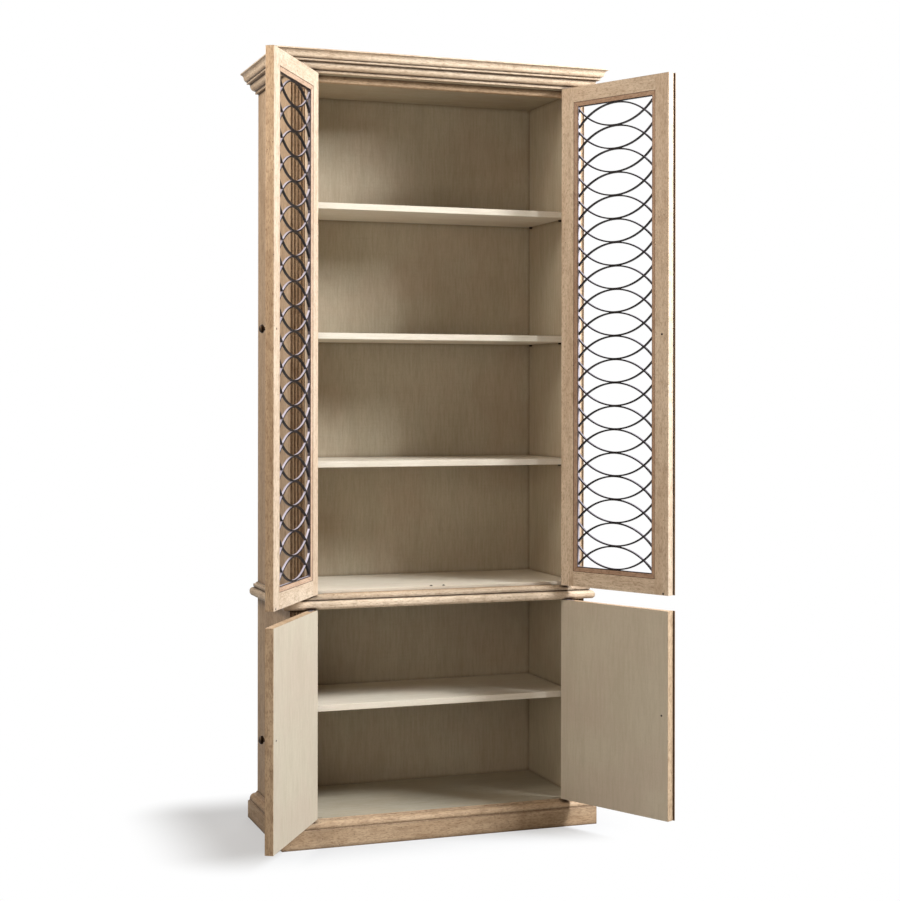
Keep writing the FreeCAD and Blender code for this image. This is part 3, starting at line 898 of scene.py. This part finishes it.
@dataclass(frozen=True)
class Turning:
    """A round piece: its outline from foot to tip, as radius and height."""

    outline: Outline
    sides: int
    crease: float = math.radians(38)

    def build(self, name: str) -> Piece:
        """Draws a disc out along the outline, from the origin up Z.

        Args:
            name: The piece's name.

        Returns:
            The piece.
        """
        clear_bench()
        radius, height = self.outline[0]
        bpy.ops.mesh.primitive_circle_add(
            vertices=self.sides, radius=radius, fill_type="NGON", location=(0.0, 0.0, height)
        )
        piece = bpy.context.object
        piece.name = name
        fix_transform()
        with editing():
            for next_radius, next_height in self.outline[1:]:
                rise = (0.0, 0.0, next_height - height)
                bpy.ops.mesh.extrude_region_move(TRANSFORM_OT_translate={"value": rise})
                share = next_radius / radius
                bpy.ops.transform.resize(
                    value=(share, share, 1.0), center_override=(0.0, 0.0, next_height)
                )
                radius, height = next_radius, next_height
        mend_normals()
        bpy.ops.object.shade_smooth_by_angle(angle=self.crease)
        return piece


@dataclass(frozen=True)
class Knob:
    """Turned bronze knob: a stepped foot, a waisted neck and a domed head with a rim bead.

    The outline is in shares of the head's radius and of the knob's height.
    """

    outline: Outline = (
        (0.60, 0.0), (0.60, 0.05), (0.55, 0.09), (0.50, 0.10), (0.50, 0.14), (0.40, 0.20),
        (0.36, 0.30), (0.38, 0.40), (0.50, 0.47), (0.74, 0.52), (0.92, 0.57), (0.99, 0.63),
        (1.00, 0.68), (0.98, 0.73), (0.93, 0.76), (0.89, 0.77), (0.86, 0.82), (0.76, 0.89),
        (0.60, 0.95), (0.38, 0.985), (0.14, 1.0),
    )
    sides: int = 48

    def build(self, door: DoorFrame, node: Piece, dresser: Dresser) -> None:
        """Turns the knob in the place of its CAD node.

        Args:
            door: The door it is on.
            node: The CAD knob.
            dresser: Gives it its bronze.
        """
        low, high = door.closed_box(node)
        outline = drawn(self.outline, (high.x - low.x) / 2, high.y - low.y)
        piece = Turning(outline, self.sides).build(f"{door.name}_turned_knob")
        foot = Vector(((low.x + high.x) / 2, high.y, (low.z + high.z) / 2))
        out = Matrix.Rotation(math.radians(90), 4, "X")
        settle(piece, door.opening @ Matrix.Translation(foot) @ out)
        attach(piece, door.body)
        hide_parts(node.name)
        dresser.dress(piece, SMALL_BRONZE)


@dataclass(frozen=True)
class Screw:
    """Small slotted screw, with a domed head and a sawn slot.

    The outline is in shares of the radius and of the height that stands out.
    """

    radius: float = 3.0 * MM
    height: float = 0.9 * MM
    slot_width: float = 0.8 * MM
    outline: Outline = ((1.0, -1.0), (1.0, 0.25), (0.85, 0.7), (0.5, 1.0))
    sides: int = 24

    def build(self, name: str, place: Matrix, body: str, dresser: Dresser) -> None:
        """Turns the head and saws its slot.

        Args:
            name: The piece's name.
            place: Where it goes, with Z out of the surface.
            body: The body it rides on.
            dresser: Gives it its iron.
        """
        outline = drawn(self.outline, self.radius, self.height)
        piece = Turning(outline, self.sides).build(name)
        clear_bench()
        bpy.ops.mesh.primitive_cube_add(size=1.0, location=(0.0, 0.0, self.height))
        saw = bpy.context.object
        saw.dimensions = (3 * self.radius, self.slot_width, self.height)
        fix_transform()
        pick(piece)
        cut = piece.modifiers.new("slot", "BOOLEAN")
        cut.operation = "DIFFERENCE"
        cut.object = saw
        apply_modifiers(piece)
        bpy.data.objects.remove(saw)
        settle(piece, place)
        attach(piece, body)
        dresser.dress(piece, SMALL_IRON)


@dataclass(frozen=True)
class Grille:
    """Grille of interlaced iron strips: a border strip, and an arch and a bowl in each cell."""

    iron: DarkMetal
    # The rim's painted highlight colour
    rim_highlight: Colour
    cells: int = 20
    bar: float = 4.5 * MM
    border_bar: float = 2.0 * MM
    rise_share: float = 0.9
    lap: float = 1.2 * MM
    steps: int = 16
    inset: float = 0.25 * MM
    crease: float = math.radians(30)

    def build(self, door: DoorFrame, node: Piece, dresser: Dresser) -> None:
        """Builds the grille in the place of its CAD node.

        Args:
            door: The door it is in.
            node: The CAD grille.
            dresser: Gives it its iron.
        """
        low, high = door.closed_box(node)
        pitch = (high.z - low.z - self.bar) / self.cells
        border = self.border(low, high)
        foot = low.z + self.bar / 2
        bowls = self.strips(low, high, pitch, 1, foot + self.lap)
        arches = self.strips(low, high, pitch, -1, foot + pitch - self.lap)
        pick(bowls, arches, border)
        bpy.ops.object.join()
        border.name = f"{door.name}_iron_grille"
        settle(border, door.opening)
        bpy.ops.object.shade_smooth_by_angle(angle=self.crease)
        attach(border, door.body)
        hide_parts(node.name)
        rim = GrilleRim((low + high) / 2 - door.pivot, (high - low) / 2, self.rim_highlight)
        iron = Recipe(f"{door.name}_iron", self.iron, Grain.UPRIGHT, door, ring=rim)
        dresser.dress(border, iron)

    def border(self, low: Vector, high: Vector) -> Piece:
        """Bends the border strip round the opening.

        Args:
            low: The grille's lowest corner, with the door closed.
            high: Its highest corner.

        Returns:
            The border.
        """
        clear_bench()
        middle = (low + high) / 2
        bpy.ops.mesh.primitive_plane_add(
            size=1.0, location=(middle.x, high.y, middle.z), rotation=(math.radians(90), 0.0, 0.0)
        )
        piece = bpy.context.object
        piece.scale = (high.x - low.x, high.z - low.z, 1.0)
        fix_transform()
        with editing():
            bpy.ops.mesh.inset(thickness=self.border_bar)
            bpy.ops.mesh.delete(type="FACE")
            bpy.ops.mesh.select_all(action="SELECT")
            bpy.ops.mesh.extrude_region_move(
                TRANSFORM_OT_translate={"value": (0.0, low.y - high.y, 0.0)}
            )
        mend_normals()
        return piece

    def strips(self, low: Vector, high: Vector, pitch: float, way: int, level: float) -> Piece:
        """Bends one strip from its crown to its end, mirrors it, and repeats it up the door.

        Args:
            low: The grille's lowest corner, with the door closed.
            high: Its highest corner.
            pitch: Height of a cell.
            way: 1 for a bowl, -1 for an arch.
            level: Height of the first strip's crown.

        Returns:
            All the strips of that way.
        """
        half = (high.x - low.x) / 2
        rise = self.rise_share * pitch
        radius = (half * half + rise * rise) / (2 * rise)
        sweep = math.asin((half + self.bar) / radius)
        depth = high.y - low.y - 2 * self.inset
        if way > 0:
            depth -= 2 * self.inset
        clear_bench()
        bpy.ops.mesh.primitive_plane_add(size=1.0, rotation=(0.0, math.radians(90), 0.0))
        piece = bpy.context.object
        piece.scale = (self.bar, depth, 1.0)
        fix_transform()
        with editing():
            bpy.ops.mesh.spin(
                steps=self.steps,
                angle=-way * sweep,
                center=(0.0, 0.0, way * radius),
                axis=(0.0, 1.0, 0.0),
            )
            bpy.ops.mesh.select_all(action="SELECT")
            bpy.ops.mesh.bisect(
                plane_co=(half, 0.0, 0.0), plane_no=(1.0, 0.0, 0.0), use_fill=True,
                clear_outer=True,
            )
        self.open_crown(piece)
        mirror = piece.modifiers.new("other_half", "MIRROR")
        mirror.merge_threshold = 2 * WELD
        stack = piece.modifiers.new("cells", "ARRAY")
        stack.use_relative_offset = False
        stack.use_constant_offset = True
        stack.constant_offset_displace = (0.0, 0.0, pitch)
        stack.count = self.cells
        apply_modifiers(piece)
        mend_normals()
        middle = (low + high) / 2
        settle(piece, Matrix.Translation((middle.x, middle.y, level)))
        return piece

    @staticmethod
    def open_crown(piece: Piece) -> None:
        """Takes out the face at the crown, where the mirrored half joins on.

        Args:
            piece: The half strip, with its crown at x = 0.
        """
        with editing("DESELECT"):
            bpy.ops.mesh.select_mode(type="FACE")
        for face in piece.data.polygons:
            face.select = all(abs(piece.data.vertices[i].co.x) < WELD for i in face.vertices)
        with editing(None):
            bpy.ops.mesh.delete(type="FACE")
            bpy.ops.mesh.select_mode(type="VERT")


# Lit and shaded copies: the right grille's rim takes a light painted highlight, the left grille's a
# weak one, and the left grille's iron is the lighter copy
RIGHT_GRILLE = Grille(IRON, tone(168, 160, 168))
LEFT_GRILLE = Grille(LIT_GRILLE_IRON, tone(78, 70, 74))


@dataclass
class Door:
    """What both kinds of door share: their frame, nodes, knob and screws."""

    name: str
    frame: dict
    dresser: Dresser
    screw: Screw = Screw()
    knob: Knob = Knob()

    def __post_init__(self) -> None:
        """Reads the door's frame from its hinge."""
        self.place = DoorFrame.of(self.name, self.frame["joints"])

    @property
    def is_left(self) -> bool:
        """True for a door hung on the left pilaster."""
        return self.place.pivot.x < 0

    def node(self, part: str) -> Piece:
        """The CAD node of one of the door's parts, such as its knob."""
        return self.frame["nodes"][f"{self.name}_{part}"]

    def coat(
        self,
        part: str,
        name: str,
        finish: Finish,
        grain: Grain,
        ring: BeadRing | None = None,
        bare: Facing | None = None,
    ) -> None:
        """Puts a finish on one of the door's parts, all but a bare face in the plain wood."""
        key = f"{self.name}_{name}_{grain.name.lower()}"
        self.dresser.dress(self.node(part), Recipe(key, finish, grain, self.place, WOOD, bare, ring))

    def fit_knob(self, face: str) -> None:
        """Fits the knob, and its screw on the inner face.

        Args:
            face: The part that carries the knob.
        """
        self.knob.build(self.place, self.node("knob"), self.dresser)
        low, high = self.place.closed_box(self.node("knob"))
        inner = self.place.closed_box(self.node(face))[1].y
        self.fit_screw("knob_screw", Vector(((low.x + high.x) / 2, inner, (low.z + high.z) / 2)))

    def fit_screw(self, part: str, centre: Vector) -> None:
        """Fits a screw on the door's inner face.

        Args:
            part: The screw's name.
            centre: Its centre, with the door closed.
        """
        turned = Matrix.Translation(centre) @ Matrix.Rotation(math.radians(-90), 4, "X")
        self.screw.build(
            f"{self.name}_{part}", self.place.opening @ turned, self.place.body, self.dresser
        )


@dataclass
class GrilleDoor(Door):
    """Upper door: stiles and rails with a bead, round an iron grille."""

    strike_from_edge: float = 18 * MM
    strike_from_foot: float = 4.8 * MM
    # Bead stains: the right one is darker, as painted shade on the right door's bead
    left_stain: Colour = tone(240, 228, 224)
    right_stain_and_shade: Colour = tone(216, 200, 193)

    def build(self) -> None:
        """Builds the door's new pieces and dresses its boards."""
        ring = self.bead_ring()
        self.coat("hinge_stile", "wood", LIMED_WOOD, Grain.UPRIGHT, ring)
        # The left door's free edge keeps the darker wood, as painted shade on that edge
        self.coat("free_stile", "shade_edged_wood", LIMED_WOOD, Grain.UPRIGHT, ring, self.shaded_free_edge())
        for part in ("top_rail", "bottom_rail"):
            self.coat(part, "wood", LIMED_WOOD, Grain.ALONG, ring)
        if not self.is_left:
            self.coat("lip", "shaded_lip_wood", SHADED_LIP_WOOD, Grain.UPRIGHT)
        grille = LEFT_GRILLE if self.is_left else RIGHT_GRILLE
        grille.build(self.place, self.node("grille"), self.dresser)
        self.fit_knob("free_stile")
        self.fit_strike()
        self.dresser.dress(self.node("hinge_leaves"), SMALL_IRON)
        LOG.info("%s door: stiles, rails, grille, knob and strike", self.name)

    def shaded_free_edge(self) -> Facing | None:
        """Finds the left door's free edge, which keeps the darker wood as painted shade.

        Returns:
            The face, or None for the right door, which has its lip there.
        """
        if not self.is_left:
            return None
        edge = self.place.closed_box(self.node("free_stile"))[1].x - self.place.pivot.x
        return Facing(Grain.ALONG, edge, Side.ABOVE)

    def bead_ring(self) -> BeadRing:
        """Places the bead round the opening that the grille fills.

        Returns:
            The bead's marks.
        """
        low, high = self.place.closed_box(self.node("grille"))
        face = self.place.closed_box(self.node("free_stile"))[1].y - self.place.pivot.y
        centre = (low + high) / 2 - self.place.pivot
        stain = self.left_stain if self.is_left else self.right_stain_and_shade
        return BeadRing(centre, (high - low) / 2, face, stain)

    def fit_strike(self) -> None:
        """Fits the strike that meets the catch on the deck."""
        low, high = self.place.closed_box(self.node("free_stile"))
        x = low.x + self.strike_from_edge
        if self.is_left:
            x = high.x - self.strike_from_edge
        self.fit_screw("strike", Vector((x, high.y, low.z + self.strike_from_foot)))


@dataclass
class SlabDoor(Door):
    """Lower door: one wooden slab, painted on its inner face."""

    def build(self) -> None:
        """Builds the door's new pieces and dresses its slab."""
        inner = self.place.closed_box(self.node("slab"))[1].y - self.place.pivot.y
        facing = Facing(Grain.DEEP, inner, Side.ABOVE)
        name = f"{self.name}_painted_slab"
        painted = Recipe(name, WOOD, Grain.UPRIGHT, self.place, DOOR_PAINT, facing)
        self.dresser.dress(self.node("slab"), painted)
        if not self.is_left:
            self.coat("lip", "shaded_lip_wood", SHADED_LIP_WOOD, Grain.UPRIGHT)
        self.fit_knob("slab")
        self.dresser.dress(self.node("hinge_leaves"), SMALL_IRON)
        LOG.info("%s door: slab, knob and screw", self.name)


@dataclass
class Case:
    """The fixed body: boards, shelves, mouldings, pilasters and small hardware.

    The catches' outline is in shares of their radius and of their height.
    """

    frame: dict
    dresser: Dresser
    catch_outline: Outline = (
        (1.0, 0.0), (1.0, 0.25), (0.92, 0.36), (0.74, 0.38),
        (0.70, 0.55), (0.58, 0.80), (0.36, 0.95), (0.12, 1.0),
    )
    catch_sides: int = 32

    def build(self) -> None:
        """Dresses the body's nodes and builds its new pieces."""
        self.dress_wood()
        self.dress_shelves()
        self.dress_walls()
        self.dress_metal()
        self.build_catches()
        LOG.info("case: mouldings, pilasters, boards, shelves, pins, hinge leaves and catches")

    def coat(self, node: str, name: str, finish: Finish, grain: Grain) -> None:
        """Puts one finish all over a node."""
        recipe = Recipe(f"{name}_{grain.name.lower()}", finish, grain)
        self.dresser.dress(self.frame["nodes"][node], recipe)

    def coat_face(self, node: str, wood: WashedWood, grain: Grain, facing: Facing) -> None:
        """Puts the walls' paint on one face of a wooden board."""
        recipe = Recipe(f"{node}_painted", wood, grain, coat=WALL_PAINT, facing=facing)
        self.dresser.dress(self.frame["nodes"][node], recipe)

    def dress_wood(self) -> None:
        """Gives the mouldings, plinth, pilasters and front rails their wood."""
        # The crown and waist take the paler wood, as painted highlight
        mitred = {
            "crown": ("highlit_moulding_wood", HIGHLIT_MOULDING_WOOD),
            "waist": ("highlit_moulding_wood", HIGHLIT_MOULDING_WOOD),
            "plinth_cap": ("moulded_wood", MOULDED_WOOD),
            "plinth": ("wood", WOOD),
        }
        for board, (name, finish) in mitred.items():
            self.coat(f"{board}_front", name, finish, Grain.ALONG)
            self.coat(f"{board}_left", name, finish, Grain.DEEP)
            self.coat(f"{board}_right", name, finish, Grain.DEEP)
        for level in ("lower", "upper"):
            for side in ("left", "right"):
                self.coat(f"{level}_pilaster_{side}", "fluted_wood", FLUTED_WOOD, Grain.UPRIGHT)
        for rail in ("upper_front_rail", "stop_rail"):
            self.coat(rail, "wood", WOOD, Grain.ALONG)

    def dress_shelves(self) -> None:
        """Paints the shelves and the deck pale, and the floor darker, as painted shade."""
        self.coat("lower_floor", "shaded_floor_paint", SHADED_FLOOR_PAINT, Grain.ALONG)
        shelves = ("lower_shelf", "upper_deck", "upper_shelf_1", "upper_shelf_2", "upper_shelf_3")
        for shelf in shelves:
            self.coat(shelf, "deck_paint", DECK_PAINT, Grain.ALONG)

    def dress_walls(self) -> None:
        """Paints the inner faces of the sides, backs and tops."""
        for level in ("lower", "upper"):
            left = Facing(Grain.ALONG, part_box(f"{level}_side_left")[1].x, Side.ABOVE)
            right = Facing(Grain.ALONG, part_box(f"{level}_side_right")[0].x, Side.BELOW)
            back = Facing(Grain.DEEP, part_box(f"{level}_back")[0].y, Side.BELOW)
            ceiling = Facing(Grain.UPRIGHT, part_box(f"{level}_top")[0].z, Side.BELOW)
            self.coat_face(f"{level}_side_left", WOOD, Grain.UPRIGHT, left)
            self.coat_face(f"{level}_side_right", WOOD, Grain.UPRIGHT, right)
            self.coat_face(f"{level}_back", WOOD, Grain.UPRIGHT, back)
            self.coat_face(f"{level}_top", RAW_WOOD, Grain.ALONG, ceiling)

    def dress_metal(self) -> None:
        """Gives the shelf pins their bronze and the fixed hinge leaves the coat of the boards."""
        self.coat("shelf_pins", "bronze", BRONZE, Grain.UPRIGHT)
        self.coat("fixed_hinge_leaves", "shaded_floor_paint", SHADED_FLOOR_PAINT, Grain.ALONG)

    def build_catches(self) -> None:
        """Builds the two ball catches on the deck in place of their CAD node."""
        low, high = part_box("deck_catches")
        radius = (high.y - low.y) / 2
        outline = drawn(self.catch_outline, radius, high.z - low.z)
        for side, x in (("left", low.x + radius), ("right", high.x - radius)):
            piece = Turning(outline, self.catch_sides).build(f"deck_ball_catch_{side}")
            settle(piece, Matrix.Translation((x, (low.y + high.y) / 2, low.z)))
            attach(piece, "cabinet")
            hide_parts("deck_catches")
            self.dresser.dress(piece, SMALL_BRONZE)


@dataclass(frozen=True)
class Lamp:
    """A soft lamp: where it stands round the cabinet, and what it gives.

    The azimuth is in degrees from the cabinet's front, towards its right end.
    """

    name: str
    azimuth: float
    distance: float
    height: float
    aim: float
    size: Pair
    power: float
    colour: tuple[float, float, float]

    def light(self, centre: Vector) -> None:
        """Hangs the lamp and points it at the cabinet.

        Args:
            centre: The point at floor level that the lamps stand round.
        """
        data = bpy.data.lights.new(self.name, "AREA")
        data.shape = "RECTANGLE"
        data.size, data.size_y = self.size
        data.energy = self.power
        data.color = self.colour
        lamp = bpy.data.objects.new(self.name, data)
        bpy.context.collection.objects.link(lamp)
        azimuth = math.radians(self.azimuth)
        away = Vector((math.sin(azimuth), -math.cos(azimuth), 0.0))
        lamp.location = centre + self.distance * away + Vector((0.0, 0.0, self.height))
        out = lamp.location - centre - Vector((0.0, 0.0, self.aim))
        lamp.rotation_euler = out.to_track_quat("Z", "Y").to_euler()


@dataclass(frozen=True)
class Studio:
    """Plain pale floor, soft lamps, white surround and the camera."""

    floor_level: float
    lamp_centre: Pair = (0.2, 0.0)
    floor_size: float = 60.0
    floor_tone: Colour = (0.56, 0.56, 0.57, 1.0)
    floor_bounce: Colour = (0.4, 0.39, 0.37, 1.0)
    floor_glow: float = 0.40
    shadow_centre: Pair = (-0.12, 0.26)
    footprint: Pair = (1.0, 0.46)
    shadow_reach: Pair = (-0.02, 0.28)
    ambient: float = 0.01
    ambient_tone: Colour = (1.0, 0.96, 0.90, 1.0)
    camera_place: tuple[float, float, float] = (-1.7041, -4.8501, 1.3276)
    camera_heading: float = -19.587
    camera_pitch: float = -0.04
    camera_roll: float = 0.07
    lens: float = 68.19
    sensor: float = 36.0
    rise: float = -0.0592
    lamps: tuple[Lamp, ...] = (
        Lamp("key", 51.0, 2.9, 3.05, 1.2, (0.9, 0.9), 294.0, (0.90, 0.95, 1.0)),
        Lamp("side_fill", -72.0, 2.3, 2.85, 1.65, (1.0, 1.0), 47.0, (1.0, 0.95, 0.88)),
        Lamp("front_fill", -36.0, 3.6, 1.6, 1.4, (1.6, 1.6), 26.0, (1.0, 0.94, 0.86)),
        Lamp("back_fill", 168.0, 3.4, 2.4, 1.3, (1.8, 1.8), 45.0, (1.0, 0.98, 0.95)),
    )

    def build(self) -> None:
        """Builds the studio round the cabinet."""
        for lamp in self.lamps:
            lamp.light(Vector((*self.lamp_centre, self.floor_level)))
        self.surround()
        self.floor()
        self.camera()
        LOG.info("studio: %d lamps, surround, floor and camera", len(self.lamps))

    def surround(self) -> None:
        """Makes the world white where it is seen, and a soft grey light elsewhere."""
        world = bpy.data.worlds.new("studio")
        bpy.context.scene.world = world
        board = NodeBoard(world)
        seen = board.seen()
        light = {
            "Color": board.blend(seen, self.ambient_tone, WHITE),
            "Strength": board.between(seen, self.ambient, 1.0),
        }
        shader = board.add("ShaderNodeBackground", light).outputs[0]
        board.add("ShaderNodeOutputWorld", {"Surface": shader})

    def floor(self) -> None:
        """Lays the floor, which keeps the shadow near the cabinet and is white further out."""
        clear_bench()
        bpy.ops.mesh.primitive_plane_add(
            size=self.floor_size, location=(0.0, 0.0, self.floor_level)
        )
        floor = bpy.context.object
        floor.name = "studio_floor"
        fix_transform()
        floor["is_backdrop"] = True
        material = bpy.data.materials.new("studio_floor")
        floor.data.materials.append(material)
        board = NodeBoard(material)
        width, depth = self.footprint
        point = board.add("ShaderNodeTexCoord").outputs["Object"]
        past = board.vector("SUBTRACT", point, (*self.shadow_centre, self.floor_level))
        past = board.vector("ABSOLUTE", past)
        past = board.vector("SUBTRACT", past, (width / 2, depth / 2, 0.0))
        past = board.vector("MAXIMUM", past)
        distance = board.vector("LENGTH", past, out="Value")
        glow = board.spread(distance, *self.shadow_reach, self.floor_glow, 1.0)
        seen = board.seen()
        colour = board.blend(seen, self.floor_bounce, self.floor_tone)
        cloth = board.add("ShaderNodeBsdfDiffuse", {"Color": colour}).outputs[0]
        white = board.add("ShaderNodeEmission").outputs[0]
        mixed = board.add("ShaderNodeMixShader", {0: board.times(glow, seen), 1: cloth, 2: white})
        board.add("ShaderNodeOutputMaterial", {"Surface": mixed.outputs[0]})

    def camera(self) -> None:
        """Sets the camera at the photograph's viewing angle."""
        data = bpy.data.cameras.new("camera")
        data.lens = self.lens
        data.sensor_fit = "HORIZONTAL"
        data.sensor_width = self.sensor
        data.shift_y = self.rise
        camera = bpy.data.objects.new("camera", data)
        bpy.context.collection.objects.link(camera)
        camera.location = self.camera_place
        camera.rotation_mode = "QUATERNION"
        heading = Quaternion((0.0, 0.0, 1.0), math.radians(self.camera_heading))
        tilt = Quaternion((1.0, 0.0, 0.0), math.radians(90.0 + self.camera_pitch))
        roll = Quaternion((0.0, 0.0, 1.0), math.radians(self.camera_roll))
        camera.rotation_quaternion = heading @ tilt @ roll
        bpy.context.scene.camera = camera


def main() -> None:
    """Dresses the cabinet in order and sets the studio round it."""
    logging.basicConfig(level=logging.INFO, format="%(name)s: %(message)s")
    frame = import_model()
    cad_low, cad_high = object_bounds()
    dresser = Dresser()
    Case(frame, dresser).build()
    for name in ("upper_right", "upper_left"):
        GrilleDoor(name, frame, dresser).build()
    for name in ("lower_right", "lower_left"):
        SlabDoor(name, frame, dresser).build()
    Studio(floor_level=cad_low.z).build()
    bpy.context.scene.view_settings.view_transform = "Standard"


if __name__ == "__main__":
    main()
